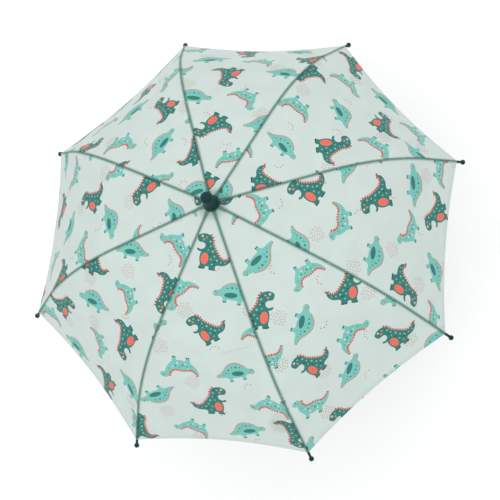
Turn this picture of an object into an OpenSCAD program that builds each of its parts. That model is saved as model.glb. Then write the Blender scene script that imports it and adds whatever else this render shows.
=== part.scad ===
// Children's stick umbrella with eight ribs, drawn open, ready to fold.
// Millimetres. +Z runs up the stick. The origin is the middle of the straight grip.
// Ribs stand at 22.5, 67.5, ... degrees, numbered 1 to 8 anticlockwise from +X.
// A positive turn of a fold joint swings a rib down towards the stick.

/* [Canopy] */
// Distance from the stick's axis to the centre of a tip ball, open
tip_ball_r = 370; // [300:1:450]
// Slope of a rib near the crown, degrees below level
crown_slope = 13; // [8:0.5:20]
// Slope of a rib at its tip, degrees below level
rim_slope = 53; // [40:0.5:60]
// Distance from the axis to where a rib starts to bend
bend_start_r = 170; // [150:1:190]
// Distance from the axis to where the bend ends
bend_end_r = 315; // [290:1:335]
// Thickness of the drawn fabric
fabric_t = 0.3; // [0.2:0.05:0.6]
// Distance from the fabric's corner to the ball's centre, along the rib
corner_setback = 16.3; // [12:0.1:24]
// How far the hem curves in, midway between two tips
hem_scallop = 3; // [0:0.5:20]
// Sag of a gore below the straight line between two ribs, as a share of its width
gore_sag = 0.03; // [0:0.005:0.06]
// Radius of the hole in the fabric at the crown
fabric_hole_r = 7.5; // [7:0.1:9]

/* [Ribs] */
// Width of a rib or stretcher bar
bar_w = 2.4; // [2:0.1:3]
// Height of a rib or stretcher bar
bar_h = 2.0; // [1.6:0.1:2.6]
// Height of the bar's centre line above the line between its two pivots
bar_offset = 3.6; // [3:0.1:5]
// Distance from the crown pivot to the stretcher pivot
stretcher_len = 148; // [130:1:155]
// Angle of the rib's bend that belongs to its inner piece
inner_bend = 10; // [4:0.5:12]
// Radius of the pivot rings in the crown and the runner
pivot_ring_r = 12; // [11:0.5:14]
// Radius of the wire in those rings
wire_r = 0.6; // [0.4:0.05:0.8]
// Radius of the ball on a tip
tip_ball_size_r = 4; // [3:0.1:5]
// Radius of a tip's stem
tip_stem_r = 2.1; // [1.8:0.1:2.6]

/* [Stick] */
// Outer radius of the steel tube
shaft_r = 5; // [4:0.1:6]
// Wall of the steel tube
shaft_wall = 0.7; // [0.5:0.05:1]
// Height of the crown pivots above the middle of the grip
crown_z = 505; // [480:1:540]
// Radius of the crown and of the runner's collar
hub_r = 14.5; // [14:0.1:17]
// Length of the runner's sleeve below its collar
sleeve_len = 40; // [30:1:55]
// Outer radius of the runner's sleeve
sleeve_r = 9.2; // [8.8:0.1:10]

/* [Cap and handle] */
// Radius of the cap's foot
cap_foot_r = 11.2; // [10.5:0.1:13]
// Radius of the cap's cylinder and dome
cap_r = 9.3; // [8:0.1:11]
// Height of the cap's tapered lower part
cap_taper_h = 15.5; // [8:0.5:20]
// Height of the cap's straight upper part, below its dome
cap_straight_h = 10; // [6:0.5:16]
// Radius of the handle's grip and crook
grip_r = 8.5; // [7.5:0.1:10]
// Half the length of the straight grip
grip_half = 45; // [40:1:60]
// Radius of the crook's centre line
crook_r = 28; // [22:1:36]

/* [Hidden] */
$fn = 48;
rib_count = 8;
half_gore = 180 / rib_count;
air = 0.45;
lug_r = 1.8;
eye_r = 0.7;
ear_gap = bar_w + 0.3;
ear_w = bar_w + 1.7;
pin_bore_r = wire_r + 0.08;
slot_w = bar_w + 0.6;
slot_floor_r = 8.6;
wire_groove_r = wire_r + 0.05;
hub_half = 3;

// The bend is one circular arc between two straight lengths.
bend_r = (bend_end_r - bend_start_r) / (sin(rim_slope) - sin(crown_slope));

// Where the moving pieces are.
rib_apex_z = crown_z + bar_offset / cos(crown_slope) + pivot_ring_r * tan(crown_slope);
pivot_drop = stretcher_len * sin(crown_slope);
runner_z = crown_z - 2 * pivot_drop;
stretcher_pivot_r = pivot_ring_r + stretcher_len * cos(crown_slope);
stretcher_pivot_z = crown_z - pivot_drop;
fabric_lift = bar_h / 2 + air + fabric_t + air + fabric_t / 2;
bend_centre_r = bend_start_r - bend_r * sin(crown_slope);
bend_centre_z = rib_z(bend_start_r) - bend_r * cos(crown_slope);
split_slope = crown_slope + inner_bend;
split_r = bend_centre_r + bend_r * sin(split_slope);
split_z = bend_centre_z + bend_r * cos(split_slope);
corner_r = tip_ball_r - corner_setback * cos(rim_slope);

// Spring catches in the stick.
catch_w = 1.2;
catch_len = 22;
catch_reach = 7.8;
top_catch_z = runner_z - hub_half - sleeve_len - catch_len - 1.5;
bottom_catch_z = 216;

// ---- The rib's centre line, as slope and height at a distance r from the axis ----

function slope_at(r) =
    r <= bend_start_r ? crown_slope
    : r >= bend_end_r ? rim_slope
    : asin(sin(crown_slope) + (r - bend_start_r) / bend_r);

function drop_in_bend(r) = bend_r * (cos(crown_slope) - cos(slope_at(r)));

function rib_z(r) =
    rib_apex_z - (
        r <= bend_start_r ? r * tan(crown_slope)
        : bend_start_r * tan(crown_slope) + drop_in_bend(min(r, bend_end_r))
          + max(0, r - bend_end_r) * tan(rim_slope));

// ---- The fabric between two ribs ----
// w is 0 on a rib and 1 on the line midway to the next one.

function ramp(x) = x <= 0 ? 0 : x >= 1 ? 1 : x * x * (3 - 2 * x);

function hem_r(w) = corner_r - hem_scallop * w * (2 - w);

function gore_point(r, w, side, lift) =
    let (s = slope_at(r),
         across = w / 2,
         sag = gore_sag * 2 * r * sin(half_gore) * ramp((r - 40) / 120) * w * (2 - w),
         x = r + (r * cos(2 * half_gore) - r) * across,
         y = side * r * sin(2 * half_gore) * across,
         n = lift - sag,
         bisector = side * half_gore * ramp(w),
         out = n * sin(s))
    [x + out * cos(bisector), y + out * sin(bisector), rib_z(r) + n * cos(s)];

// ---- Placing ----

module at_rib(i) {
    rotate([0, 0, half_gore + 2 * half_gore * (i - 1)]) children();
}

// Draws a 2-D side view, x outward and y up, as a plate of width w across the rib's plane.
module side_plate(w) {
    rotate([90, 0, 0]) linear_extrude(height = w, center = true) children();
}

module ring_slots(z) {
    for (i = [1:rib_count])
        at_rib(i)
            translate([slot_floor_r, -slot_w / 2, z - hub_half - 1])
                cube([hub_r, slot_w, 2 * hub_half + 2]);
}

module pivot_wire(z, r) {
    translate([0, 0, z])
        rotate_extrude()
            translate([pivot_ring_r, 0]) circle(r = r, $fn = 24);
}

// ---- Stick ----

module shaft() {
    color("silver")
    difference() {
        translate([0, 0, 19]) cylinder(r = shaft_r, h = crown_z + 1);
        translate([0, 0, 18]) cylinder(r = shaft_r - shaft_wall, h = crown_z + 3);
        for (z = [top_catch_z, bottom_catch_z])
            translate([2, -catch_w / 2 - 0.1, z - 1])
                cube([5, catch_w + 0.2, catch_len + 2]);
    }
}

module handle() {
    end_rise = 12;
    color("darkslategray")
    difference() {
        union() {
            translate([0, 0, -grip_half]) cylinder(r = grip_r, h = 2 * grip_half);
            translate([crook_r, 0, -grip_half])
                rotate([90, 0, 0])
                    rotate([0, 0, 180])
                        rotate_extrude(angle = 180)
                            translate([crook_r, 0]) circle(r = grip_r);
            translate([2 * crook_r, 0, -grip_half]) {
                cylinder(r = grip_r, h = end_rise);
                translate([0, 0, end_rise]) sphere(r = grip_r);
            }
        }
        translate([0, 0, 18]) cylinder(r = shaft_r + 0.03, h = grip_half);
    }
}

module handle_collar() {
    color("silver")
    difference() {
        union() {
            translate([0, 0, grip_half + 0.05]) cylinder(r = grip_r, h = 2.5);
            translate([0, 0, grip_half + 2.55]) cylinder(r1 = grip_r, r2 = 6.6, h = 6);
        }
        translate([0, 0, grip_half - 1]) cylinder(r = shaft_r + 0.03, h = 12);
    }
}

module ferrule_cap() {
    foot_z = rib_apex_z + (fabric_lift + fabric_t / 2 + air + fabric_t + air) / cos(crown_slope);
    low = cap_foot_r * tan(crown_slope);
    color("darkslategray")
    difference() {
        translate([0, 0, foot_z - low]) {
            cylinder(r = cap_foot_r, h = 1.5);
            translate([0, 0, 1.5]) cylinder(r1 = cap_foot_r, r2 = cap_r, h = cap_taper_h);
            translate([0, 0, 1.5 + cap_taper_h]) cylinder(r = cap_r, h = cap_straight_h);
            translate([0, 0, 1.5 + cap_taper_h + cap_straight_h]) sphere(r = cap_r);
        }
        // The hollow under the foot follows the slope of the cloth.
        translate([0, 0, foot_z - 2 * low]) cylinder(r1 = 2 * cap_foot_r, r2 = 0, h = 2 * low);
        translate([0, 0, crown_z]) cylinder(r = shaft_r + 0.03, h = 20.3);
    }
}

// A thin eight-sided cone that follows the straight lines between the ribs.
module cloth_cone(r, lift, t) {
    low = r * tan(crown_slope);
    top = rib_apex_z + lift / cos(crown_slope);
    difference() {
        rotate([0, 0, half_gore])
            translate([0, 0, top - low + t / 2]) cylinder(r1 = r, r2 = 0.001, h = low, $fn = 8);
        rotate([0, 0, half_gore])
            translate([0, 0, top - 2 * low - t / 2]) cylinder(r1 = 2 * r, r2 = 0.001, h = 2 * low, $fn = 8);
        translate([0, 0, crown_z]) cylinder(r = shaft_r + 0.5, h = 30);
    }
}

module top_rosette() {
    points = 20;
    star = [for (k = [0:2 * points - 1])
        let (r = k % 2 == 0 ? 13.8 : 12.3)
        [r * cos(k * 180 / points), r * sin(k * 180 / points)]];
    color("darkslategray")
    intersection() {
        cloth_cone(18, fabric_lift + fabric_t + air, fabric_t);
        translate([0, 0, crown_z]) linear_extrude(height = 20) polygon(star);
    }
}

module under_rosette() {
    color("lightgray") cloth_cone(24, fabric_lift - fabric_t - air, fabric_t);
}

module top_notch() {
    color("darkslategray")
    difference() {
        union() {
            translate([0, 0, crown_z - hub_half]) cylinder(r = hub_r, h = 2 * hub_half);
            translate([0, 0, crown_z - hub_half - 9]) cylinder(r = 8, h = 9.01);
        }
        translate([0, 0, crown_z - 15]) cylinder(r = shaft_r + 0.03, h = 30);
        ring_slots(crown_z);
        pivot_wire(crown_z, wire_groove_r);
    }
}

module notch_wire() {
    color("gray") pivot_wire(crown_z, wire_r);
}

module runner() {
    foot = 4;
    color("darkslategray")
    difference() {
        union() {
            translate([0, 0, runner_z - hub_half]) cylinder(r = hub_r, h = 2 * hub_half);
            translate([0, 0, runner_z - hub_half - sleeve_len]) cylinder(r = sleeve_r, h = sleeve_len + 0.01);
            translate([0, 0, runner_z - hub_half - sleeve_len]) cylinder(r = 12.5, h = foot);
            translate([0, 0, runner_z - hub_half - sleeve_len + foot])
                cylinder(r1 = 12.5, r2 = sleeve_r, h = 5);
        }
        translate([0, 0, runner_z - 60]) cylinder(r = shaft_r + 0.08, h = 80);
        // The keyway passes over the spring catches.
        translate([0, -catch_w / 2 - 0.3, runner_z - 60]) cube([catch_reach + 0.4, catch_w + 0.6, 80]);
        ring_slots(runner_z);
        pivot_wire(runner_z, wire_groove_r);
    }
}

module runner_wire() {
    color("gray") pivot_wire(runner_z, wire_r);
}

// A catch is a flat steel finger. Its square end holds the runner and its ramp lets it pass.
module catch_finger(z, square_end_up) {
    ramp_side = [[2.4, 0], [shaft_r + 0.2, 0], [catch_reach, catch_len - 4], [catch_reach, catch_len], [2.4, catch_len]];
    color("silver")
    translate([0, 0, z + (square_end_up ? 0 : catch_len)])
        mirror([0, 0, square_end_up ? 0 : 1])
            side_plate(catch_w) polygon(ramp_side);
}

module catch_top() {
    catch_finger(top_catch_z, true);
}

module catch_bottom() {
    catch_finger(bottom_catch_z, false);
}

// ---- Ribs ----

// A straight bar along a rib's slope s, from a point on its centre line.
module sloped_bar(r, z, s, from, to, h = bar_h) {
    translate([r, z]) rotate(-s) translate([from, -h / 2]) square([to - from, h]);
}

// The bent bar between two slopes.
module bent_bar(s_from, s_to) {
    far = 2 * bend_r;
    translate([bend_centre_r, bend_centre_z])
        intersection() {
            difference() {
                circle(r = bend_r + bar_h / 2, $fn = 360);
                circle(r = bend_r - bar_h / 2, $fn = 360);
            }
            polygon([[0, 0], [far * sin(s_from), far * cos(s_from)], [far * sin(s_to), far * cos(s_to)]]);
        }
}

// A point on the rib's own axes: u outward along the crown slope from the crown pivot, v above.
module on_rib(u, v) {
    translate([pivot_ring_r, crown_z]) rotate(-crown_slope) translate([u, v]) children();
}

module rib_inner() {
    bend_u = (bend_start_r - pivot_ring_r - bar_offset * sin(crown_slope)) / cos(crown_slope);
    set_back = 2.1;
    set_back_angle = set_back / bend_r * 180 / PI;
    ear_back_angle = 7 / bend_r * 180 / PI;
    color("dimgray")
    union() {
        // Bar, with the lug that hangs on the crown's wire.
        difference() {
            side_plate(bar_w) {
                on_rib(4, bar_offset - bar_h / 2) square([bend_u - 4 + 0.02, bar_h]);
                bent_bar(crown_slope, split_slope - set_back_angle);
                on_rib(0, 0) circle(r = lug_r);
                on_rib(-0.6, 0) square([5.6, bar_offset + bar_h / 2]);
            }
            side_plate(bar_w + 2) on_rib(0, 0) circle(r = eye_r, $fn = 24);
        }
        // Saddle and ears that carry the stretcher's pin.
        side_plate(ear_w) on_rib(stretcher_len - 2.6, bar_offset - bar_h / 2) square([5.2, bar_h * 0.7]);
        difference() {
            side_plate(ear_w) {
                on_rib(stretcher_len, 0) circle(r = 1.6);
                on_rib(stretcher_len - 1.6, 0) square([3.2, bar_offset - bar_h / 2 + 0.1]);
            }
            side_plate(ear_gap)
                on_rib(stretcher_len - 3, -3) square([6, 3 + bar_offset - bar_h / 2]);
        }
        side_plate(ear_w) on_rib(stretcher_len, 0) circle(r = wire_r, $fn = 24);
        // Ears that carry the outer rib's pin.
        difference() {
            side_plate(ear_w) {
                bent_bar(split_slope - ear_back_angle, split_slope);
                translate([split_r, split_z]) circle(r = 1.5);
            }
            side_plate(ear_gap) translate([split_r, split_z]) rotate(-split_slope)
                translate([-set_back, -3]) square([6, 6]);
        }
        side_plate(ear_w) translate([split_r, split_z]) circle(r = wire_r, $fn = 24);
    }
}

module rib_outer() {
    end_gap = 5;
    start_angle = 0.6 / bend_r * 180 / PI;
    straight = (tip_ball_r - bend_end_r) / cos(rim_slope) - end_gap;
    color("dimgray")
    difference() {
        side_plate(bar_w) {
            translate([split_r, split_z]) circle(r = 1.4);
            bent_bar(split_slope + start_angle, rim_slope);
            sloped_bar(bend_end_r, rib_z(bend_end_r), rim_slope, -0.02, straight);
        }
        side_plate(bar_w + 2) translate([split_r, split_z]) circle(r = pin_bore_r, $fn = 24);
    }
}

// Stem and ball are one moulded piece with a square socket for the rib's end.
module rib_tip() {
    stem_from = -corner_setback + 0.8;
    color("darkslategray")
    translate([tip_ball_r, 0, rib_z(tip_ball_r)])
        rotate([0, rim_slope, 0])
            difference() {
                union() {
                    rotate([0, 90, 0]) translate([0, 0, stem_from]) cylinder(r = tip_stem_r, h = -stem_from);
                    sphere(r = tip_ball_size_r);
                }
                translate([stem_from - 1, -bar_w / 2 - 0.05, -bar_h / 2 - 0.05])
                    cube([-stem_from - 3.9, bar_w + 0.1, bar_h + 0.1]);
            }
}

module stretcher() {
    tilt = atan2(stretcher_pivot_z - runner_z, stretcher_pivot_r - pivot_ring_r);
    color("dimgray")
    difference() {
        side_plate(bar_w)
            translate([pivot_ring_r, runner_z]) rotate(tilt) {
                circle(r = lug_r);
                translate([0, -bar_h / 2]) square([stretcher_len, bar_h]);
                translate([stretcher_len, 0]) circle(r = 1.35);
            }
        side_plate(bar_w + 2) translate([pivot_ring_r, runner_z]) circle(r = eye_r, $fn = 24);
        side_plate(bar_w + 2) translate([stretcher_pivot_r, stretcher_pivot_z]) circle(r = pin_bore_r, $fn = 24);
    }
}

// ---- Cloth ----

// One rib's share of the canopy: half a gore on each side of the rib.
module canopy_sector() {
    rows = 31;
    half_cols = 4;
    cols = 2 * half_cols + 1;
    seam_gap = 0.15;
    function row_r(j, w) = fabric_hole_r + (hem_r(w) - fabric_hole_r) * j / (rows - 1);
    function pt(j, c, lift) =
        let (k = c - half_cols,
             side = k < 0 ? -1 : 1,
             w0 = abs(k) / half_cols,
             r = row_r(j, w0),
             w = min(w0, 1 - seam_gap / (r * sin(half_gore))))
        gore_point(r, w, side, lift);
    top = [for (j = [0:rows - 1]) for (c = [0:cols - 1]) pt(j, c, fabric_lift + fabric_t / 2)];
    low = [for (j = [0:rows - 1]) for (c = [0:cols - 1]) pt(j, c, fabric_lift - fabric_t / 2)];
    n = rows * cols;
    skin = [for (j = [0:rows - 2]) for (c = [0:cols - 2])
        let (a = j * cols + c) each [[a, a + cols + 1, a + 1], [a, a + cols, a + cols + 1]]];
    under = [for (f = skin) [f[2] + n, f[1] + n, f[0] + n]];
    last = (rows - 1) * cols;
    ends = [for (c = [0:cols - 2]) each [
        [c, c + 1, c + 1 + n], [c, c + 1 + n, c + n],
        [last + c, last + c + 1 + n, last + c + 1], [last + c, last + c + n, last + c + 1 + n]]];
    sides = [for (j = [0:rows - 2])
        let (a = j * cols, b = a + cols, e = a + cols - 1, f = b + cols - 1) each [
        [a, b + n, b], [a, a + n, b + n], [e, f, f + n], [e, f + n, e + n]]];
    color("lightcyan") polyhedron(points = concat(top, low), faces = concat(skin, under, ends, sides));
}

// Lays a flat piece against the underside of the gore that lies clockwise of rib 6.
module under_gore(r, w, depth) {
    p = gore_point(r, w, -1, fabric_lift - fabric_t / 2 - depth);
    pitch = atan(tan(slope_at(r)) / cos(half_gore));
    at_rib(6) translate(p) rotate([0, 0, -half_gore]) rotate([0, pitch, 0]) children();
}

module care_label() {
    color("white") under_gore(328, 0.2, 3.2) translate([-12, -13, 0]) cube([24, 22, 0.4]);
}

module tie_strap() {
    color("lightcyan") under_gore(328, 0.62, 1.9) translate([-27, -7, 0]) cube([52, 14, 1.2]);
}

// ---- Nodes ----

shaft();
handle();
handle_collar();
ferrule_cap();
top_rosette();
under_rosette();
top_notch();
notch_wire();
runner();
runner_wire();
catch_top();
catch_bottom();
for (i = [1:rib_count]) {
    at_rib(i) rib_inner();
    at_rib(i) rib_outer();
    at_rib(i) rib_tip();
    at_rib(i) stretcher();
    at_rib(i) canopy_sector();
}
care_label();
tie_strap();
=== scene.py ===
"""Children's umbrella, open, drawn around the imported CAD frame.

The canopy is eight gores of printed cloth. Each gore is laid out flat, the print is cut into it as
mesh regions, and the flat pattern is then bent onto the ribs. Lengths in the cloth section are in
millimetres and become metres when a mesh is made.
"""

import math
import random

import bpy
from mathutils import Matrix, Vector
from mathutils.geometry import delaunay_2d_cdt


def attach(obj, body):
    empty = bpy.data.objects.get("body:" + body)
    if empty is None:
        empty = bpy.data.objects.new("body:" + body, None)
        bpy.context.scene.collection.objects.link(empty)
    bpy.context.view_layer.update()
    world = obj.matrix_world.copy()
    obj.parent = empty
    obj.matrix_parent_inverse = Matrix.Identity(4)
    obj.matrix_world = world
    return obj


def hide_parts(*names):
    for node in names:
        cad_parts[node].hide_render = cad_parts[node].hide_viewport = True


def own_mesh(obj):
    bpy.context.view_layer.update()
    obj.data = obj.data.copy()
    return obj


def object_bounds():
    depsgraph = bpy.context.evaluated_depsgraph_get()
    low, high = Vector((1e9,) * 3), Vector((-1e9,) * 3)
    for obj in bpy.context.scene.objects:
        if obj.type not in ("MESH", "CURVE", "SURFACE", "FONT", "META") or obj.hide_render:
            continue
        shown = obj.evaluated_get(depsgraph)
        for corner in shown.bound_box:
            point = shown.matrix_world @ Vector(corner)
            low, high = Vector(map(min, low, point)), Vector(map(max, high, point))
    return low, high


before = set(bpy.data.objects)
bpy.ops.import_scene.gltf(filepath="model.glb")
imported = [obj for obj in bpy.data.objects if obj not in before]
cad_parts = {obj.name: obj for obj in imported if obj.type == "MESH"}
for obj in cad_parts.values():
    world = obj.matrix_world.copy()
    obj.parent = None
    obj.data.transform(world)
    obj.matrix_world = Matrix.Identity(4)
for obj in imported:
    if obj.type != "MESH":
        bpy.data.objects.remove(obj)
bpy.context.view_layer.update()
MM = 0.001

# ---------------------------------------------------------------- shape of the open umbrella
RIBS = 8
HALF_GORE = math.radians(22.5)
TIP_BALL_R = 370.0
CROWN_SLOPE = math.radians(13)
RIM_SLOPE = math.radians(53)
BEND_START_R = 170.0
BEND_END_R = 315.0
CROWN_Z = 505.0
PIVOT_R = 12.0
BAR_OFFSET = 3.6
FABRIC_LIFT = 2.35
CORNER_SETBACK = 16.3
HEM_SCALLOP = 3.0
GORE_SAG = 0.03
CROWN_HOLE_R = 7.6

BEND_R = (BEND_END_R - BEND_START_R) / (math.sin(RIM_SLOPE) - math.sin(CROWN_SLOPE))
APEX_Z = CROWN_Z + BAR_OFFSET / math.cos(CROWN_SLOPE) + PIVOT_R * math.tan(CROWN_SLOPE)
CORNER_R = TIP_BALL_R - CORNER_SETBACK * math.cos(RIM_SLOPE)
LENGTH_TO_BEND = BEND_START_R / math.cos(CROWN_SLOPE)
LENGTH_OF_BEND = BEND_R * (RIM_SLOPE - CROWN_SLOPE)
SPLIT_SLOPE = CROWN_SLOPE + math.radians(10)
SPLIT_R = BEND_START_R + BEND_R * (math.sin(SPLIT_SLOPE) - math.sin(CROWN_SLOPE))


def smooth(x):
    x = min(1.0, max(0.0, x))
    return x * x * (3 - 2 * x)


def slope_at(r):
    if r <= BEND_START_R:
        return CROWN_SLOPE
    if r >= BEND_END_R:
        return RIM_SLOPE
    return math.asin(math.sin(CROWN_SLOPE) + (r - BEND_START_R) / BEND_R)


def rib_z(r):
    if r <= BEND_START_R:
        return APEX_Z - r * math.tan(CROWN_SLOPE)
    drop = BEND_R * (math.cos(CROWN_SLOPE) - math.cos(slope_at(r)))
    past = max(0.0, r - BEND_END_R) * math.tan(RIM_SLOPE)
    return APEX_Z - BEND_START_R * math.tan(CROWN_SLOPE) - drop - past


def length_at(r):
    """Length along a rib from the apex out to distance r from the axis."""
    if r <= BEND_START_R:
        return r / math.cos(CROWN_SLOPE)
    if r <= BEND_END_R:
        return LENGTH_TO_BEND + BEND_R * (slope_at(r) - CROWN_SLOPE)
    return LENGTH_TO_BEND + LENGTH_OF_BEND + (r - BEND_END_R) / math.cos(RIM_SLOPE)


def radius_at(s):
    if s <= LENGTH_TO_BEND:
        return s * math.cos(CROWN_SLOPE)
    if s <= LENGTH_TO_BEND + LENGTH_OF_BEND:
        slope = CROWN_SLOPE + (s - LENGTH_TO_BEND) / BEND_R
        return BEND_START_R + BEND_R * (math.sin(slope) - math.sin(CROWN_SLOPE))
    return BEND_END_R + (s - LENGTH_TO_BEND - LENGTH_OF_BEND) * math.cos(RIM_SLOPE)


TIP_PLANE_Z = rib_z(TIP_BALL_R)


def half_width(r):
    return r * math.sin(HALF_GORE)


def hem_r(w):
    return CORNER_R - HEM_SCALLOP * w * (2 - w)


def rib_azimuth(i):
    return HALF_GORE + 2 * HALF_GORE * (i - 1)


def gore_point(gore, s, v, lift=FABRIC_LIFT):
    """The place of flat point (s, v) of a gore: s out along the ribs, v across, 0 midway between them."""
    r = radius_at(s)
    hw = half_width(r)
    w = min(1.0, max(0.0, 1 - abs(v) / hw))
    side = 1 if v < 0 else -1
    rib = gore if v < 0 else gore + 1
    slope = slope_at(r)
    across = w / 2
    sag = GORE_SAG * 2 * hw * smooth((r - 40) / 120) * w * (2 - w)
    ripple = 0.9 * w * w * smooth((r - 120) / 160) * math.sin(0.021 * s + 1.7 * gore)
    n = lift - sag + ripple
    turn = side * HALF_GORE * smooth(w)
    x = r + (r * math.cos(2 * HALF_GORE) - r) * across + n * math.sin(slope) * math.cos(turn)
    y = side * r * math.sin(2 * HALF_GORE) * across + n * math.sin(slope) * math.sin(turn)
    a = rib_azimuth(rib)
    z = rib_z(r) + n * math.cos(slope)
    return Vector((x * math.cos(a) - y * math.sin(a), x * math.sin(a) + y * math.cos(a), z))


def gore_normal(gore, s, v, side):
    """Outward normal, taken on the given side of the middle so that a rib keeps its ridge."""
    hw = half_width(radius_at(s))
    v = min(abs(v), hw - 0.4) * side
    ds = gore_point(gore, s + 0.5, v) - gore_point(gore, s - 0.5, v)
    dv = gore_point(gore, s, v + 0.3) - gore_point(gore, s, v - 0.3)
    return ds.cross(dv).normalized()


# ---------------------------------------------------------------- node helpers
def rgb(r, g, b):
    """An sRGB colour, 0 to 255, as Blender's linear values."""
    lin = [(c / 255) / 12.92 if c <= 10.31 else ((c / 255 + 0.055) / 1.055) ** 2.4 for c in (r, g, b)]
    return (*lin, 1.0)


def new_material(name):
    m = bpy.data.materials.new(name)
    m.use_nodes = True
    nodes = m.node_tree.nodes
    return m, nodes, m.node_tree.links, nodes["Principled BSDF"]


def add(nodes, kind, **values):
    node = nodes.new(kind)
    for key, value in values.items():
        setattr(node, key, value)
    return node


def math_node(nodes, links, operation, a, b=None, clamp=False):
    node = add(nodes, "ShaderNodeMath", operation=operation, use_clamp=clamp)
    for k, value in enumerate((a, b)):
        if value is None:
            continue
        if isinstance(value, (int, float)):
            node.inputs[k].default_value = value
        else:
            links.new(value, node.inputs[k])
    return node.outputs[0]


def mix_colour(nodes, links, factor, a, b, blend="MIX"):
    node = add(nodes, "ShaderNodeMix", data_type="RGBA", blend_type=blend)
    for socket, value in ((node.inputs[0], factor), (node.inputs[6], a), (node.inputs[7], b)):
        if isinstance(value, (int, float, tuple)):
            socket.default_value = value
        else:
            links.new(value, socket)
    return node.outputs[2]


def map_range(nodes, links, value, low, high, to_low=0.0, to_high=1.0, kind="SMOOTHSTEP"):
    node = add(nodes, "ShaderNodeMapRange", interpolation_type=kind)
    links.new(value, node.inputs["Value"])
    for name, number in (("From Min", low), ("From Max", high), ("To Min", to_low), ("To Max", to_high)):
        node.inputs[name].default_value = number
    return node.outputs["Result"]


def wave(nodes, links, value, radians_per_unit):
    return math_node(nodes, links, "SINE", math_node(nodes, links, "MULTIPLY", value, radians_per_unit))


def noise(nodes, links, vector, scale, detail=2):
    texture = add(nodes, "ShaderNodeTexNoise")
    texture.inputs["Scale"].default_value = scale
    texture.inputs["Detail"].default_value = detail
    links.new(vector, texture.inputs["Vector"])
    return texture.outputs["Fac"]


def add_bump(nodes, links, shader, height, strength, distance):
    bump = add(nodes, "ShaderNodeBump")
    bump.inputs["Strength"].default_value = strength
    bump.inputs["Distance"].default_value = distance
    links.new(height, bump.inputs["Height"])
    links.new(bump.outputs[0], shader.inputs["Normal"])


def scaled(colour, share):
    return tuple(share * c for c in colour[:3]) + (1.0,)


# ---------------------------------------------------------------- cloth materials
CLOTH_SHARE = 0.81
THREAD_PITCH = 0.42
STITCH_PITCH = 2.8
STITCH_INSET = 6.0


def dye(r, g, b):
    """A cloth colour as it looks in full studio light, turned into the cloth's own colour."""
    return scaled(rgb(r, g, b), CLOTH_SHARE)


MINT = dye(211, 225, 220)
# A deep green that painted shade and doubled cloth multiply into the cloth.
SHADE_AND_DOUBLED_TINT = (0.12, 0.29, 0.24, 1.0)
PRINT_COLOURS = {
    "ground": MINT,
    "teal": dye(122, 200, 189),
    "teal_deep": dye(48, 124, 115),
    "teal_dark": dye(14, 74, 68),
    "coral": dye(246, 116, 98),
    "coral_deep": dye(206, 84, 76),
    "white": dye(240, 246, 242),
    "speckle": dye(184, 82, 78),
}


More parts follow.
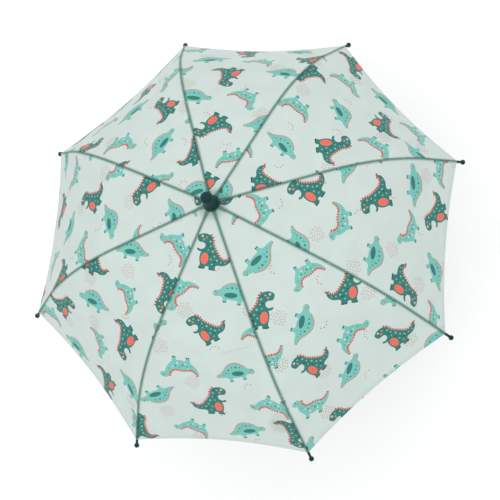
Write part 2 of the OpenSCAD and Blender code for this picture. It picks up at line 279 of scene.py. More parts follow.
def cloth_material(name, colour, kind):
    """Woven polyester. kind is panel, band (doubled cloth over a rib, with the rib's shadow painted on it)
    or inside (the paler back).
    """
    m, nodes, links, shader = new_material(f"{name}_{kind}")
    uv = add(nodes, "ShaderNodeUVMap", uv_map="flat")
    split = add(nodes, "ShaderNodeSeparateXYZ")
    links.new(uv.outputs[0], split.inputs[0])
    marks = add(nodes, "ShaderNodeUVMap", uv_map="seam")
    mark = add(nodes, "ShaderNodeSeparateXYZ")
    links.new(marks.outputs[0], mark.inputs[0])
    # UVs are stored in metres of cloth, so they are turned back into millimetres here.
    along, across = (math_node(nodes, links, "MULTIPLY", mark.outputs[k], 1000) for k in (0, 1))
    warp, weft = (wave(nodes, links, split.outputs[k], 2000 * math.pi / THREAD_PITCH) for k in (0, 1))
    weave = math_node(nodes, links, "MULTIPLY", warp, weft)

    cloudy = noise(nodes, links, uv.outputs[0], 26, 3)
    slub = noise(nodes, links, uv.outputs[0], 700)
    base = colour
    if kind == "inside":
        base = tuple(0.5 * c + 0.42 * g for c, g in zip(colour[:3], MINT)) + (1.0,)
    tint = mix_colour(nodes, links, map_range(nodes, links, cloudy, 0.3, 0.7), base, scaled(base, 0.95))
    slubbed = map_range(nodes, links, slub, 0.35, 0.75, 0, 0.35)
    tint = mix_colour(nodes, links, slubbed, tint, scaled(base, 0.9))
    # The attribute read here holds painted shadow of the lining and the care label behind the cloth.
    shade_and_doubling = add(nodes, "ShaderNodeAttribute", attribute_name="shade_and_doubling").outputs["Fac"]
    distance = math_node(nodes, links, "ABSOLUTE", across)
    if kind == "band":
        # Doubled cloth is darker. Painted shade fades in towards the seam, and the rib behind is painted as
        # a shadow along its middle.
        shade = map_range(nodes, links, distance, 5.2, 2.6, 0.02, 0.24)
        doubled = map_range(nodes, links, distance, 3.0, 2.3, 0.0, 0.34)
        rib_shadow = map_range(nodes, links, distance, 1.7, 1.0, 0.0, 0.42)
        shade_and_doubling = math_node(nodes, links, "ADD", shade_and_doubling, math_node(nodes, links, "ADD", shade, rib_shadow))
        shade_and_doubling = math_node(nodes, links, "ADD", shade_and_doubling, doubled, clamp=True)
    else:
        # The hem is turned under, so its last 7 mm are doubled.
        turned = map_range(nodes, links, across, 7.3, 6.9, 0.0, 0.05 if kind == "panel" else 0.16)
        shade_and_doubling = math_node(nodes, links, "ADD", shade_and_doubling, turned, clamp=True)
    # Painted shade and doubled cloth both darken the cloth towards one deep green.
    tint = mix_colour(nodes, links, shade_and_doubling, tint, mix_colour(nodes, links, 1.0, tint, SHADE_AND_DOUBLED_TINT, "MULTIPLY"))

    # A line of lock stitches: on the seam of a band, and a little in from the hem of a panel.
    line = distance
    if kind != "band":
        line = math_node(nodes, links, "ABSOLUTE", math_node(nodes, links, "SUBTRACT", across, STITCH_INSET))
    near = map_range(nodes, links, line, 0.5, 0.25)
    dash = map_range(nodes, links, wave(nodes, links, along, 2 * math.pi / STITCH_PITCH), -0.5, -0.2)
    stitch = math_node(nodes, links, "MULTIPLY", near, dash)
    faint_stitch = math_node(nodes, links, "MULTIPLY", stitch, 0.55)
    tint = mix_colour(nodes, links, faint_stitch, tint, scaled(MINT, 0.72))
    links.new(tint, shader.inputs["Base Color"])

    height = math_node(nodes, links, "ADD", math_node(nodes, links, "MULTIPLY", weave, 0.00002),
                       math_node(nodes, links, "MULTIPLY", stitch, 0.00025))
    height = math_node(nodes, links, "ADD", height, math_node(nodes, links, "MULTIPLY", slub, 0.00004))
    add_bump(nodes, links, shader, height, 0.35, 1.0)
    links.new(map_range(nodes, links, slub, 0.2, 0.8, 0.62, 0.78), shader.inputs["Roughness"])
    shader.inputs["Specular IOR Level"].default_value = 0.35
    shader.inputs["Sheen Weight"].default_value = 0.12
    shader.inputs["Sheen Roughness"].default_value = 0.4
    return m


KINDS = ("panel", "band", "inside")
CLOTH = {(name, kind): cloth_material(name, colour, kind)
         for name, colour in PRINT_COLOURS.items() for kind in KINDS}

# ---------------------------------------------------------------- print motifs, in millimetres


def spline(points, steps=5):
    """A closed Catmull-Rom curve through given points."""
    n = len(points)
    out = []
    for i in range(n):
        p0, p1, p2, p3 = (Vector(points[(i + k) % n]) for k in (-1, 0, 1, 2))
        for k in range(steps):
            t = k / steps
            out.append(0.5 * ((2 * p1) + (p2 - p0) * t + (2 * p0 - 5 * p1 + 4 * p2 - p3) * t * t
                              + (3 * p1 - p0 - 3 * p2 + p3) * t ** 3))
    return out


def oval(x, y, rx, ry=None, tilt=0.0, n=12):
    ry = rx if ry is None else ry
    c, s = math.cos(math.radians(tilt)), math.sin(math.radians(tilt))
    ring = [(rx * math.cos(2 * math.pi * k / n), ry * math.sin(2 * math.pi * k / n)) for k in range(n)]
    return [Vector((x + px * c - py * s, y + px * s + py * c)) for px, py in ring]


def spines(points, pitch, height, width):
    """Blunt teeth standing out on the left of an open line of points."""
    out = []
    carry = pitch / 2
    for a, b in zip(points, points[1:]):
        step = b - a
        length = step.length
        if length < 1e-6:
            continue
        d = step / length
        n = Vector((-d.y, d.x))
        while carry <= length:
            c = a + d * carry
            h, w = height, width / 2
            out.append([c - d * w - n, c + d * w - n,
                        c + d * w * 0.75 + n * h * 0.6, c + d * w * 0.2 + n * h,
                        c - d * w * 0.35 + n * h * 0.9, c - d * w * 0.85 + n * h * 0.45])
            carry += pitch
        carry -= length
    return out


def dots(colour, places):
    """Round spots of one colour, from (x, y, radius)."""
    return [(colour, oval(x, y, r)) for x, y, r in places]


def long_neck():
    """A long-necked grazer with a row of blunt spines."""
    body = spline([(-27, 16), (-25, 21), (-18.5, 23.5), (-13, 20.5), (-11.5, 13), (-7, 7), (0, 5),
                   (8, 6), (16, 4.5), (24, 3), (31, 7), (37, 14), (34, 4), (28, -4), (21, -9),
                   (19.5, -17), (13.5, -17.5), (12.5, -11), (4, -12.5), (-2, -11.5), (-3, -17.5),
                   (-8.5, -17), (-9.5, -9), (-14, -3), (-18, 5), (-19.5, 12), (-23, 13)])
    back = body[15:57]
    shapes = [("coral_deep", tooth) for tooth in spines(back, 4.0, 4.0, 3.8)]
    shapes.append(("teal", body))
    shapes += dots("teal_deep", [(-3, -1, 1.5), (4, 1, 1.1), (9, -3, 1.7), (16, -1, 1.2), (22, -3, 1.0),
                                 (-13, 6, 1.0)])
    shapes += dots("white", [(0, -6, 1.4), (13, -6, 1.2), (18, 2, 0.9), (-7, 1, 1.0)])
    shapes.append(("coral", oval(5, -8, 1.5)))
    shapes.append(("coral", oval(-18, 16.5, 1.6)))
    shapes.append(("teal_dark", oval(-21, 19.3, 1.0)))
    shapes += [("teal_dark", oval(x, -17, 1.1, 1.6)) for x in (-5.5, -8, 14.5, 17.5)]
    return shapes


def plated():
    """A low grazer with a round back, small plates and a dark underside."""
    body = spline([(-31, -5), (-29, 0), (-22, 2.5), (-16, 7), (-8, 13.5), (2, 16.5), (12, 14),
                   (20, 7), (28, 1), (38, -2.5), (30, -6), (22, -7), (18, -10.5), (17.5, -16.5),
                   (11.5, -17), (10.5, -11), (0, -11.5), (-5.5, -11), (-7, -17), (-12.5, -17),
                   (-13.5, -10), (-20, -8), (-27, -9)])
    back = body[14:46]
    shapes = [("coral_deep", tooth) for tooth in spines(back, 3.0, 2.2, 2.6)]
    shapes.append(("teal", body))
    shapes.append(("teal_deep", oval(-1, -3.5, 11, 4.6, 8, 20)))
    shapes += dots("teal_deep", [(-8, 7, 1.3), (-1, 9, 1.8), (6, 9.5, 1.2), (13, 6, 1.6), (19, 1, 1.2),
                                 (14, 0, 0.9), (24, -2, 0.9)])
    shapes.append(("coral", oval(-23.5, -4, 1.9)))
    shapes.append(("teal_dark", oval(-26.5, -0.8, 1.0)))
    shapes += [("teal_dark", oval(x, -16.3, 1.1, 1.3)) for x in (-8, -11, 13, 16)]
    return shapes


def upright():
    """A dark upright walker with a coral front, pale spots and spines down its back."""
    body = spline([(-22, 19), (-22, 25.5), (-14, 30), (-4, 29), (2, 23), (4, 14), (9, 6), (15, -2),
                   (22, -9), (31, -9.5), (36.5, -3), (36, -12), (28, -19), (17, -20.5), (14, -24.5),
                   (15, -29.5), (4.5, -29.5), (3.5, -25), (-2, -25), (-3, -29.5), (-13, -29.5),
                   (-11.5, -23), (-14, -13), (-13.5, -4), (-9.5, 4), (-8, 11), (-12, 14.5), (-19, 15)])
    back = body[15:53]
    shapes = [("coral_deep", tooth) for tooth in spines(back, 4.6, 3.6, 4.0)]
    arm = spline([(-9, 5), (-14, 2.5), (-19, 4), (-20.5, 1.5), (-15, -1.5), (-8, 0.5)])
    shapes.append(("teal_deep", arm))
    shapes.append(("teal_deep", body))
    shapes.append(("coral", oval(-5.5, -12, 6.2, 10, 4, 20)))
    shapes += dots("coral_deep", [(-7.5, -8, 0.9), (-3.5, -10, 0.9), (-7, -13, 0.9), (-3, -15.5, 0.9),
                                  (-6.5, -18, 0.9)])
    shapes += dots("teal", [(-8, 24, 1.5), (-1, 18, 1.8), (1, 10, 1.4), (6, 2, 2.0), (10, -6, 1.6),
                            (5, -12, 1.5), (15, -12, 1.8), (22, -14, 1.3), (8, -20, 1.5), (-2, 3, 1.3),
                            (29, -14, 1.2)])
    shapes += dots("teal_dark", [(-4, 11, 1.3), (2, -4, 1.4), (12, -15, 1.4), (-3, 23, 1.0)])
    shapes.append(("coral", oval(-12, 19.5, 2.0)))
    shapes.append(("white", oval(-15.5, 25, 1.9)))
    shapes.append(("teal_dark", oval(-15.9, 25, 0.9)))
    shapes += [("teal_dark", oval(x, -29, 1.6, 1.2)) for x in (-11, -7, 6.5, 11)]
    return shapes


def speckles(radius=12.5, count=32, dot=0.85):
    """A round patch of small dots, spread like seeds in a flower."""
    turn = math.radians(137.5)
    places = [(radius * math.sqrt((k + 0.5) / count), k * turn) for k in range(count)]
    return [("speckle", oval(r * math.cos(a), r * math.sin(a), dot, n=5)) for r, a in places]


def crumbs():
    return [("coral_deep", oval(x, y, 1.0, n=8)) for x, y in [(-6, 0), (-1.5, 2.6), (3.5, 2.0), (7, -1.8)]]


MOTIFS = [long_neck(), upright(), plated()]
SPECKLES = speckles()
CRUMBS = crumbs()


def print_on_gore(gore):
    """The motifs that fall on one gore: a half-drop repeat, shifted for each gore."""
    rng = random.Random(40 + gore)
    pitch_s, pitch_v = 62.0, 86.0
    shift_s, shift_v = rng.uniform(0, pitch_s), rng.uniform(0, pitch_v)
    shapes = []

    def place(motif, s, v, angle, size, flip):
        c, d = math.cos(angle) * size, math.sin(angle) * size
        for name, outline in motif:
            placed = [Vector((s + c * flip * p.x - d * p.y, v + d * flip * p.x + c * p.y)) for p in outline]
            shapes.append((name, placed))

    for i in range(-1, 9):
        for j in range(-4, 5):
            s = i * pitch_s + shift_s
            v = j * pitch_v + (i % 2) * pitch_v / 2 + shift_v
            if not (-40 < s < 500 and abs(v) < 190):
                continue
            kind = (i % 2 + 2 * j + gore) % 3
            up = 90 if (i + j + gore) % 2 else -90
            angle = math.radians(up + rng.uniform(-38, 38))
            motif_s = s + rng.uniform(-5, 5)
            motif_v = v + rng.uniform(-6, 6)
            size = rng.uniform(0.88, 0.98)
            place(MOTIFS[kind], motif_s, motif_v, angle, size, rng.choice((-1, 1)))
            spot_s = s + pitch_s * 0.45 + rng.uniform(-4, 4)
            spot_v = v + pitch_v * 0.16 + rng.uniform(-5, 5)
            if (i + j) % 2:
                place(SPECKLES, spot_s, spot_v, rng.uniform(0, 6), 1.0, 1)
            else:
                place(CRUMBS, spot_s, spot_v, rng.uniform(0, 6), 1.0, 1)
    return shapes


# ---------------------------------------------------------------- cutting and bending the cloth
PANEL_T = 0.25
BAND_T = 0.55
BAND_HALF = 5.2
PANEL_START_R = (BAND_HALF + 0.8) / math.sin(HALF_GORE)


def between(a, b, n):
    return [a + (b - a) * k / n for k in range(n + 1)]


SEAM_R = between(CROWN_HOLE_R, CORNER_R, 68)
HEM_W = between(0.0, 1.0, 24)


def seam_line(side, inset=0.0, start_r=CROWN_HOLE_R):
    """Flat points from the crown to the hem, a given distance in from a seam."""
    line = []
    for r in SEAM_R:
        if r > start_r:
            line.append(Vector((length_at(r), side * (half_width(r) - inset))))
    line.insert(0, Vector((length_at(start_r), side * (half_width(start_r) - inset))))
    if inset:
        line[-1] = hem_cut(side, inset)
    return line


def hem_at(w, side):
    r = hem_r(w)
    return Vector((length_at(r), side * half_width(r) * (1 - w)))


def hem_cut(side, inset):
    """Where a line at that inset from the seam meets the hem."""
    low, high = 0.0, 1.0
    for _ in range(40):
        w = (low + high) / 2
        gap = half_width(hem_r(w)) * w
        low, high = (w, high) if gap < inset else (low, w)
    return hem_at(low, side)


def hem_line(side, w_from):
    """Flat points of the hem from w_from out to the middle of the gore."""
    return [hem_at(w, side) for w in HEM_W if w > w_from + 0.004]


def cut_line(side):
    """The fold between inner and outer cloth, square to the seam at the rib's hinge."""
    s0 = length_at(SPLIT_R)
    v0 = half_width(SPLIT_R)
    lean = math.sin(HALF_GORE) * math.cos(SPLIT_SLOPE)
    return [Vector((s0 - 6 * lean, side * (v0 + 6))), Vector((s0 + v0 * lean, 0.0))]


def panel_outline(side):
    start = Vector((length_at(PANEL_START_R), side * (half_width(PANEL_START_R) - BAND_HALF)))
    edge = seam_line(side, BAND_HALF, PANEL_START_R)
    cut = edge[-1]
    w_cut = 1 - abs(cut.y) / half_width(radius_at(cut.x))
    outline = edge + hem_line(side, w_cut) + [Vector((start.x, 0.0))]
    return outline if side > 0 else outline[::-1]


def gore_outline():
    left = seam_line(-1)
    right = seam_line(1)
    hem_left = [hem_at(w, -1) for w in HEM_W if w > 0]
    hem_right = [hem_at(w, 1) for w in HEM_W if 0 < w < 1]
    return left + hem_left + hem_right[::-1] + right[::-1]


def outer_region():
    left, middle = cut_line(-1)
    right = cut_line(1)[0]
    return [left, middle, right, Vector((520, 300)), Vector((520, -300))]


def grid_points():
    """Spare points that let the flat cloth bend smoothly."""
    points = []
    for i in range(2, 48):
        s = 9.0 * i + 3.1
        hw = half_width(radius_at(s))
        n = max(2, int(2 * hw / 11))
        for k in range(1, n):
            v = -hw + 2 * hw * k / n
            w = 1 - abs(v) / hw
            if radius_at(s) < hem_r(w) - 3 and abs(v) < hw - 1.5:
                points.append(Vector((s, v)))
    for r in SEAM_R[1:-1]:
        for side in (-1, 1):
            for inset in (1.2, 2.6):
                if half_width(r) > inset + 1:
                    points.append(Vector((length_at(r), side * (half_width(r) - inset))))
    return points


def anticlockwise(outline):
    twice_area = sum(a.cross(b) for a, b in zip(outline, outline[1:] + outline[:1]))
    return outline if twice_area > 0 else outline[::-1]


def cut_gore(gore):
    """Flat triangles of one gore, each with its place in the cloth and its print colour."""
    regions = [gore_outline(), panel_outline(-1), panel_outline(1), outer_region()]
    printed = print_on_gore(gore)
    points = []
    faces = []
    for outline in regions + [shape for _, shape in printed]:
        faces.append(list(range(len(points), len(points) + len(outline))))
        points += anticlockwise(outline)
    points += grid_points()
    mid = [Vector((length_at(CROWN_HOLE_R) + 1, 0.0)), Vector((length_at(hem_r(1.0)), 0.0))]
    edges = [(len(points), len(points) + 1)]
    points += mid
    verts, _, tris, _, _, owners = delaunay_2d_cdt(points, edges, faces, 0, 1e-3)
    first = len(regions)
    result = []
    for tri, own in zip(tris, owners):
        own = set(own)
        if 0 not in own:
            continue
        centre = sum((verts[i] for i in tri), Vector((0, 0))) / len(tri)
        zone = "outer" if 3 in own else "inner"
        side = -1 if centre.y < 0 else 1
        kind = "panel" if (1 in own or 2 in own) else "band"
        top = max(own)
        colour = printed[top - first][0] if top >= first else "ground"
        result.append((tri, kind, zone, side, colour))
    return verts, result


class Sheet:
    """Collects flat triangles and turns them into one closed, thin piece of cloth."""

    def __init__(self, name, thickness):
        self.name = name
        self.thickness = thickness
        self.index = {}
        self.top = []
        self.normals = []
        self.flat = []
        self.place = []
        self.seam = []
        self.shade_and_doubling = []
        self.faces = []
        self.area = 0.0

    def point(self, key, gore, s, v, side, kind):
        if key in self.index:
            return self.index[key]
        r = radius_at(s)
        hw = half_width(r)
        if hw - abs(v) < 0.06:
            v = math.copysign(hw, v)
        normal = gore_normal(gore, s, v, side)
        inset = hw - abs(v)
        if kind == "band":
            # The ridge over a rib is rounded, not knife sharp.
            rib = gore if v < 0 else gore + 1
            a = rib_azimuth(rib)
            slope = slope_at(r)
            ridge = Vector((math.sin(slope) * math.cos(a), math.sin(slope) * math.sin(a), math.cos(slope)))
            normal = normal.lerp(ridge, 1 - smooth(inset / 3.2)).normalized()
            mark = (s, inset * side)
        else:
            w = 1 - abs(v) / hw
            hem = length_at(hem_r(w)) - s
            mark = (v, hem)
        self.index[key] = len(self.top)
        self.top.append(gore_point(gore, s, v))
        self.normals.append(normal)
        self.place.append(Vector((s, v)))
        self.flat.append(Vector((s + 31.0 * gore, v)) * MM)
        self.seam.append(Vector(mark) * MM)
        # Painted shadow of the cloth behind this point.
        self.shade_and_doubling.append(painted_shadow_at(gore, s, v))
        return self.index[key]

    def flat_size(self):
        """Length along the rib and width across it, in metres, of the flat cut."""
        ends = [p.x for p in self.place]
        sides = [p.y for p in self.place]
        width = 2 * BAND_HALF if self.info[0] == "band" else max(sides) - min(sides)
        return ((max(ends) - min(ends)) * MM, width * MM)

    def build(self, material_kind):
        n = len(self.top)
        verts = [p * MM for p in self.top]
        verts += [(p - m * self.thickness) * MM for p, m in zip(self.top, self.normals)]
        edges = {}
        faces = []
        slots = []
        names = list(PRINT_COLOURS)
        for tri, colour in self.faces:
            faces.append(tri)
            slots.append(names.index(colour))
            for a, b in zip(tri, tri[1:] + tri[:1]):
                edges[(a, b)] = colour
        for tri, colour in self.faces:
            faces.append([i + n for i in reversed(tri)])
            slots.append(names.index(colour) + len(names))
        for (a, b), colour in edges.items():
            if (b, a) not in edges:
                faces.append([b, a, a + n, b + n])
                slots.append(names.index(colour))
        mesh = bpy.data.meshes.new(self.name)
        mesh.from_pydata(verts, [], faces)
        mesh.polygons.foreach_set("material_index", slots)
        mesh.polygons.foreach_set("use_smooth", [True] * len(faces))
        for name, values in (("flat", self.flat), ("seam", self.seam)):
            layer = mesh.uv_layers.new(name=name)
            for loop in mesh.loops:
                layer.data[loop.index].uv = values[loop.vertex_index % n]
        # Painted shadow at each point, which the cloth material reads.
        shade_and_doubling = mesh.attributes.new("shade_and_doubling", "FLOAT", "POINT")
        shade_and_doubling.data.foreach_set("value", self.shade_and_doubling * 2)
        for kind in (material_kind, "inside"):
            for name in names:
                mesh.materials.append(CLOTH[name, kind])
        mesh.validate()
        mesh.update()
        flat_faces = 2 * len(self.faces)
        loops = []
        for poly in mesh.polygons:
            for k in poly.loop_indices:
                i = mesh.loops[k].vertex_index
                if poly.index < flat_faces:
                    loops.append(self.normals[i] if i < n else -self.normals[i - n])
                else:
                    loops.append(poly.normal.copy())
        mesh.normals_split_custom_set(loops)
        obj = bpy.data.objects.new(self.name, mesh)
        bpy.context.collection.objects.link(obj)
        return obj


def painted_shadow_at(gore, s, v):
    """How much painted shadow darkens the canopy where cloth lies behind it: the lining at the crown and the
    care label.
    """
    r = radius_at(s)
    # Painted shadow of the lining, darkest at the crown, with a faint edge near 26.5 mm.
    shade_and_doubling = 0.16 * smooth((26.5 - r) / 2.0) + 0.5 * smooth((27 - r) / 20)
    # Painted shadow of the care label sewn inside gore 5.
    if gore == 5:
        d_s = abs(s - length_at(327)) - 11
        d_v = abs(v - (half_width(r) - 26)) - 12
        shade_and_doubling += 0.22 * smooth(1 - max(d_s, d_v) / 2.5)
    return shade_and_doubling


def build_canopy():
    """Eight gores, cut into panels beside each rib and bands over each rib, inside and outside the bend."""
    sheets = {}
    for gore in range(1, RIBS + 1):
        verts, triangles = cut_gore(gore)
        for tri, kind, zone, side, colour in triangles:
            rib = (gore if side < 0 else gore + 1)
            rib = 1 if rib > RIBS else rib
            hand = "left" if side < 0 else "right"
            name = f"canopy_{kind}_{zone}_{rib}" if kind == "band" else f"canopy_{kind}_{zone}_{rib}_{hand}"
            if name not in sheets:
                sheets[name] = Sheet(name, BAND_T if kind == "band" else PANEL_T)
                sheets[name].info = (kind, zone, rib, side)
            sheet = sheets[name]
            key_side = gore if kind == "band" else 0
            ids = [sheet.point((key_side, i), gore, verts[i].x, verts[i].y, side, kind) for i in tri]
            a, b, c = (verts[i] for i in tri)
            if (b - a).cross(c - a) < 0:
                ids.reverse()
            sheet.area += abs((b - a).cross(c - a)) / 2
            sheet.faces.append((ids, colour))
    return sheets


def fold_with_rib(piece):
    """Gives the piece a mesh of its own."""
    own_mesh(piece)


for name, sheet in build_canopy().items():
    kind, zone, rib, side = sheet.info
    piece = sheet.build(kind)
    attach(piece, f"rib_{rib}" if zone == "inner" else f"rib_end_{rib}")
    if zone == "inner":
        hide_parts(f"canopy_sector_{rib}")
    size = sheet.flat_size()
    if kind == "panel":
        fold_with_rib(piece)


# ---------------------------------------------------------------- small cloth pieces


def closed_cloth(name, rows, thickness, ring=False):
    """A thin closed piece from rows of (point, normal), in millimetres. A ring joins each row's ends."""
    cols = len(rows[0])
    n = len(rows) * cols
    flat = [item for row in rows for item in row]
    verts = [p * MM for p, _ in flat] + [(p - m * thickness) * MM for p, m in flat]
    spans = cols if ring else cols - 1
    faces = []
    for j in range(len(rows) - 1):
        for c in range(spans):
            a, b = j * cols + c, j * cols + (c + 1) % cols
            faces.append((a, a + cols, b + cols, b))
            faces.append((b + n, b + cols + n, a + cols + n, a + n))
    for c in range(spans):
        d = (c + 1) % cols
        faces.append((c, d, d + n, c + n))
        last = (len(rows) - 1) * cols
        faces.append((last + d, last + c, last + c + n, last + d + n))
    if not ring:
        for j in range(len(rows) - 1):
            a, b = j * cols, (j + 1) * cols
            faces.append((b, a, a + n, b + n))
            a, b = a + cols - 1, b + cols - 1
            faces.append((a, b, b + n, a + n))
    mesh = bpy.data.meshes.new(name)
    mesh.from_pydata(verts, [], faces)
    layer = mesh.uv_layers.new(name="flat")
    for loop in mesh.loops:
        v = mesh.vertices[loop.vertex_index].co
        layer.data[loop.index].uv = (v.x, v.y)
    mesh.validate()
    mesh.update()
    obj = bpy.data.objects.new(name, mesh)
    bpy.context.collection.objects.link(obj)
    return obj


def crown_cone_point(r, angle, lift):
    """A point over the crown at a height above the line of the ribs, on the eight flat gores."""
    off_middle = abs(((angle - HALF_GORE) % (2 * HALF_GORE)) - HALF_GORE)
    drop = r * math.cos(off_middle) / math.cos(HALF_GORE) * math.tan(CROWN_SLOPE)
    z = APEX_Z + lift / math.cos(CROWN_SLOPE) - drop
    return Vector((r * math.cos(angle), r * math.sin(angle), z))


def pinked_cloth(name, node, body, hole_r, edge_r, tooth, lift, from_angle, to_angle, pitch):
    """Cloth round the crown with a zigzag edge, as a whole round or as one part of it."""
    whole = abs(to_angle - from_angle) > 6.28
    steps = round((to_angle - from_angle) / pitch) * 6
    rows = []
    for f in (0, 0.12, 0.3, 0.5, 0.7, 0.86, 1.0):
        row = []
        for c in range(steps if whole else steps + 1):
            angle = from_angle + (to_angle - from_angle) * c / steps
            saw = abs((c % 6) - 3) / 3
            r = hole_r + (edge_r - tooth * (1 - saw) - hole_r) * f
            curl = 0.12 * f * math.sin(5 * angle + 1) + 0.08 * f * math.sin(11 * angle)
            outward = Vector((math.cos(angle), math.sin(angle), 0)) * math.sin(CROWN_SLOPE)
            normal = outward + Vector((0, 0, math.cos(CROWN_SLOPE)))
            row.append((crown_cone_point(r, angle, lift + curl), normal))
        rows.append(row)
    piece = closed_cloth(name, rows, 0.3, ring=whole)
    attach(piece, body)
    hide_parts(node)
    return piece


def under_cloth(name, node, middle_s, middle_v, length, width, depth, thickness, curl):
    """A flat piece sewn inside gore 5 beside rib 6. It follows the cloth and curls away at its free end."""
    rows = []
    for j in range(15):
        f = j / 14
        row = []
        for c in range(11):
            g = c / 10
            s = middle_s + (f - 0.5) * length
            v = middle_v + (g - 0.5) * width
            hang = depth + curl * (1 - f) ** 2 + 0.25 * math.sin(3 * g + 5 * f)
            normal = gore_normal(5, s, v, 1)
            row.append((gore_point(5, s, v) - normal * hang, normal))
        rows.append(row)
    piece = closed_cloth(name, rows, thickness)
    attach(piece, "rib_end_6")
    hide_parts(node)
    return piece


def turned_hem(rib, hand, word):
    """The 7 mm of cloth turned under and stitched along one half of a gore's hem."""
    gore = rib if hand > 0 else (rib - 2) % RIBS + 1
    side = -hand
    rows = []
    for j in range(6):
        row = []
        for k in range(19):
            w = 0.045 + 0.952 * k / 18
            s = length_at(hem_r(w)) - 0.35 - 6.6 * j / 5
            v = side * half_width(radius_at(s)) * (1 - w)
            normal = gore_normal(gore, s, v, side)
            puff = 0.18 * math.sin(math.pi * j / 5) * (1 + 0.5 * math.sin(40 * w))
            row.append((gore_point(gore, s, v) - normal * (PANEL_T + 0.02), normal, puff))
        rows.append(row if hand > 0 else row[::-1])
    hem = closed_cloth(f"hem_{rib}_{word}", [[(p, n) for p, n, _ in row] for row in rows], 0.35)
    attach(hem, f"rib_end_{rib}")
    fold_with_rib(hem)
    return hem


def thread_tie(rib, r, body):
    """A few turns of thread that tie a rib to the seam above it."""
    slope = slope_at(r)
    a = rib_azimuth(rib)
    along = Vector((math.cos(slope) * math.cos(a), math.cos(slope) * math.sin(a), -math.sin(slope)))
    up = Vector((math.sin(slope) * math.cos(a), math.sin(slope) * math.sin(a), math.cos(slope)))
    across = Vector((-math.sin(a), math.cos(a), 0))
    middle = Vector((r * math.cos(a), r * math.sin(a), rib_z(r))) + up * 0.45
    turns = 3
    steps = 16 * turns
    ring = 6
    verts = []
    for k in range(steps + 1):
        t = 2 * math.pi * k / 16
        out = across * math.cos(t) * 1.55 + up * math.sin(t) * 1.75
        centre = middle + out + along * (0.6 * (k / 16 - turns / 2))
        spoke = out.normalized()
        for q in range(ring):
            b = 2 * math.pi * q / ring
            verts.append((centre + spoke * 0.28 * math.cos(b) + along * 0.28 * math.sin(b)) * MM)
    faces = [(k * ring + q, k * ring + (q + 1) % ring, (k + 1) * ring + (q + 1) % ring, (k + 1) * ring + q)
             for k in range(steps) for q in range(ring)]
    faces += [tuple(range(ring))[::-1], tuple(steps * ring + q for q in range(ring))]
    mesh = bpy.data.meshes.new(f"thread_tie_{rib}_{round(r)}")
    mesh.from_pydata(verts, [], faces)
    mesh.polygons.foreach_set("use_smooth", [True] * len(faces))
    mesh.update()
    tie = bpy.data.objects.new(mesh.name, mesh)
    bpy.context.collection.objects.link(tie)
    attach(tie, body)
    return tie


# A hem (7 mm) or a lining wedge (9.3 mm) is too narrow to be a sheet of its own, so each one goes with
# the panel that it is sewn to.
hems = []
for i in range(1, RIBS + 1):
    for hand, word in ((-1, "right"), (1, "left")):
        hem = turned_hem(i, hand, word)
        hems.append(hem)
ties = [thread_tie(i, r, body) for i in range(1, RIBS + 1)
        for r, body in ((95, f"rib_{i}"), (190, f"rib_{i}"), (285, f"rib_end_{i}"))]
ROSETTE_HOLE_R = 5.7
ROSETTE_R = 13.8
rosette = pinked_cloth("rosette_pinked", "top_rosette", "stick", ROSETTE_HOLE_R, ROSETTE_R, 1.6,
                       FABRIC_LIFT + 0.9, 0, 2 * math.pi, math.pi / 10)
# The lining is cut beside each rib, because it folds down with the cloth above it.
lining = []
for i in range(1, RIBS + 1):
    for hand, word in ((-1, "right"), (1, "left")):
        ends = sorted((rib_azimuth(i), rib_azimuth(i) + hand * HALF_GORE))
        wedge = pinked_cloth(f"lining_{i}_{word}", "under_rosette", f"rib_{i}", CROWN_HOLE_R, 23.8, 1.2,
                             FABRIC_LIFT - 0.6, *ends, HALF_GORE / 3)
        fold_with_rib(wedge)
        lining.append(wedge)
SEWN_R = 328
LABEL_SIZE = (22, 22)
STRAP_SIZE = (50, 14)
label = under_cloth("label_ribbon", "care_label", length_at(SEWN_R), half_width(SEWN_R) * 0.8, *LABEL_SIZE,
                    1.7, 0.3, 1.8)
strap = under_cloth("strap_doubled", "tie_strap", length_at(SEWN_R), half_width(SEWN_R) * 0.38, *STRAP_SIZE,
                    1.2, 1.0, 1.0)
for piece, (length, width) in ((label, LABEL_SIZE), (strap, STRAP_SIZE)):
    fold_with_rib(piece)

# ---------------------------------------------------------------- other materials


def plastic(name, colour, roughness=0.28, grain=300, depth=0.00002, shine=0.12):
    """Moulded plastic: a slight flow pattern in its gloss and colour, and a fine skin."""
    m, nodes, links, shader = new_material(name)
    place = add(nodes, "ShaderNodeTexCoord").outputs["Object"]
    flow = noise(nodes, links, place, 60, 4)
    skin = noise(nodes, links, place, grain * 8)
    pale = tuple(min(1, 1.18 * c + 0.004) for c in colour[:3]) + (1.0,)
    tint = mix_colour(nodes, links, map_range(nodes, links, flow, 0.35, 0.7), colour, pale)
    links.new(tint, shader.inputs["Base Color"])
    gloss = map_range(nodes, links, flow, 0.3, 0.7, roughness - 0.05, roughness + 0.09)
    links.new(gloss, shader.inputs["Roughness"])
    add_bump(nodes, links, shader, skin, 0.25, depth)
    shader.inputs["IOR"].default_value = 1.49
    shader.inputs["Specular IOR Level"].default_value = shine
    return m


def steel(name, colour, roughness, along=(40, 40, 4), metallic=1.0):
    """Drawn or painted steel, with its marks running along Z."""
    m, nodes, links, shader = new_material(name)
    place = add(nodes, "ShaderNodeTexCoord").outputs["Object"]
    stretch = add(nodes, "ShaderNodeMapping")
    stretch.inputs["Scale"].default_value = along
    links.new(place, stretch.inputs["Vector"])
    marks = noise(nodes, links, stretch.outputs[0], 60, 5)
    tint = mix_colour(nodes, links, map_range(nodes, links, marks, 0.3, 0.7), colour, scaled(colour, 0.82))
    links.new(tint, shader.inputs["Base Color"])
    gloss = map_range(nodes, links, marks, 0.3, 0.7, roughness, roughness + 0.14)
    links.new(gloss, shader.inputs["Roughness"])
    add_bump(nodes, links, shader, marks, 0.2, 0.00003)
    shader.inputs["Metallic"].default_value = metallic
    return m


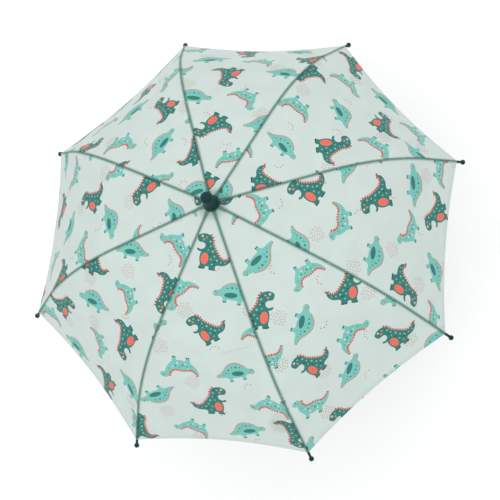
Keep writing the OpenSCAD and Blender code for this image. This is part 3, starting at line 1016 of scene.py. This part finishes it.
def plain_cloth(name, colour, pitch=0.5):
    """Unprinted woven cloth."""
    m, nodes, links, shader = new_material(name)
    place = add(nodes, "ShaderNodeTexCoord").outputs["Object"]
    split = add(nodes, "ShaderNodeSeparateXYZ")
    links.new(place, split.inputs[0])
    warp, weft = (wave(nodes, links, split.outputs[k], 2000 * math.pi / pitch) for k in (0, 1))
    weave = math_node(nodes, links, "MULTIPLY", warp, weft)
    cloudy = noise(nodes, links, place, 90)
    dull = scaled(colour, 0.8)
    tint = mix_colour(nodes, links, map_range(nodes, links, cloudy, 0.3, 0.7), colour, dull)
    tint = mix_colour(nodes, links, map_range(nodes, links, weave, -1, 1, 0, 0.25), tint, dull)
    links.new(tint, shader.inputs["Base Color"])
    add_bump(nodes, links, shader, weave, 0.4, 0.00012)
    links.new(map_range(nodes, links, cloudy, 0.3, 0.7, 0.7, 0.85), shader.inputs["Roughness"])
    shader.inputs["Sheen Weight"].default_value = 0.15
    return m


PINE = rgb(12, 48, 50)
pine_gloss = plastic("pine_plastic", PINE, 0.34)
pine_satin = plastic("pine_satin_plastic", rgb(18, 42, 42), 0.5, shine=0.15)
tube_steel = steel("tube_steel", rgb(200, 202, 204), 0.24)
collar_steel = steel("collar_steel", rgb(215, 216, 218), 0.14, (30, 30, 30))
wire_steel = steel("wire_steel", rgb(170, 172, 174), 0.3, (30, 30, 30))
rib_paint = steel("rib_paint", rgb(58, 66, 66), 0.38, (20, 20, 20), 0.35)
rosette_cloth = plain_cloth("rosette_cloth", rgb(26, 62, 60))
lining_cloth = plain_cloth("lining_cloth", rgb(186, 206, 198))
label_cloth = plain_cloth("label_cloth", rgb(238, 238, 232), 0.35)
strap_cloth = plain_cloth("strap_cloth", rgb(200, 220, 212))
thread = plain_cloth("thread", rgb(150, 176, 166), 0.25)

DRESS = {
    "shaft": tube_steel,
    "handle": pine_gloss,
    "handle_collar": collar_steel,
    "ferrule_cap": pine_gloss,
    "top_notch": pine_satin,
    "notch_wire": wire_steel,
    "runner": pine_gloss,
    "runner_wire": wire_steel,
    "catch_top": wire_steel,
    "catch_bottom": wire_steel,
}
for i in range(1, RIBS + 1):
    DRESS[f"rib_inner_{i}"] = rib_paint
    DRESS[f"rib_outer_{i}"] = rib_paint
    DRESS[f"rib_tip_{i}"] = pine_gloss
    DRESS[f"stretcher_{i}"] = rib_paint
for node, material in DRESS.items():
    obj = bpy.data.objects[node]
    obj.data.materials.clear()
    obj.data.materials.append(material)
cloth_pieces = [
    (rosette, rosette_cloth, "rosette_cloth"),
    (label, label_cloth, "label_cloth"),
    (strap, strap_cloth, "strap_cloth"),
]
cloth_pieces += [(piece, lining_cloth, "lining_cloth") for piece in lining + hems]
cloth_pieces += [(tie, thread, "lining_cloth") for tie in ties]
for piece, material, slot in cloth_pieces:
    piece.data.materials.append(material)

# ---------------------------------------------------------------- camera, light and floor
AIM = Vector((-2.8, -55.4, TIP_PLANE_Z + 100)) * MM
CAMERA_AZIMUTH = math.radians(1.15)
CAMERA_ELEVATION = math.radians(69.36)
CAMERA_ROLL = math.radians(42.07)
CAMERA_DISTANCE = 2.084


def add_camera():
    back = Vector((math.cos(CAMERA_ELEVATION) * math.sin(CAMERA_AZIMUTH),
                   -math.cos(CAMERA_ELEVATION) * math.cos(CAMERA_AZIMUTH),
                   math.sin(CAMERA_ELEVATION)))
    right = Vector((0, 0, 1)).cross(back).normalized()
    up = back.cross(right)
    rolled_up = up * math.cos(CAMERA_ROLL) + right * math.sin(CAMERA_ROLL)
    rolled_right = rolled_up.cross(back)
    data = bpy.data.cameras.new("camera")
    data.lens = 97.6
    data.sensor_width = 36
    data.clip_end = 50
    camera = bpy.data.objects.new("camera", data)
    turn = Matrix((rolled_right, rolled_up, back)).transposed().to_4x4()
    camera.matrix_world = Matrix.Translation(AIM + back * CAMERA_DISTANCE) @ turn
    bpy.context.collection.objects.link(camera)
    bpy.context.scene.camera = camera


def add_area_light(name, place, size, power):
    data = bpy.data.lights.new(name, "AREA")
    data.shape = "DISK"
    data.size = size
    data.energy = power
    light = bpy.data.objects.new(name, data)
    light.location = place
    aim = Vector((0, 0, 0.4)) - Vector(place)
    light.rotation_euler = aim.to_track_quat("-Z", "Y").to_euler()
    bpy.context.collection.objects.link(light)


def add_floor():
    m, nodes, links, shader = new_material("floor_paper")
    shader.inputs["Base Color"].default_value = (0.95, 0.95, 0.95, 1)
    shader.inputs["Roughness"].default_value = 0.9
    size = 30.0
    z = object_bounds()[0][2] - 0.001
    mesh = bpy.data.meshes.new("floor")
    corners = [(-size, -size, z), (size, -size, z), (size, size, z), (-size, size, z)]
    mesh.from_pydata(corners, [], [(0, 1, 2, 3)])
    mesh.materials.append(m)
    floor = bpy.data.objects.new("floor", mesh)
    bpy.context.collection.objects.link(floor)


add_camera()
add_floor()
add_area_light("key", (-1.2, -1.4, 3.2), 2.4, 24)
add_area_light("fill", (1.8, 0.6, 2.6), 2.6, 11)
add_area_light("back", (-0.4, 2.2, 2.0), 2.2, 4)
world = bpy.data.worlds.new("studio")
world.use_nodes = True
world.node_tree.nodes["Background"].inputs[0].default_value = (1, 1, 1, 1)
world.node_tree.nodes["Background"].inputs[1].default_value = 1.0
bpy.context.scene.world = world
bpy.context.scene.view_settings.view_transform = "Standard"
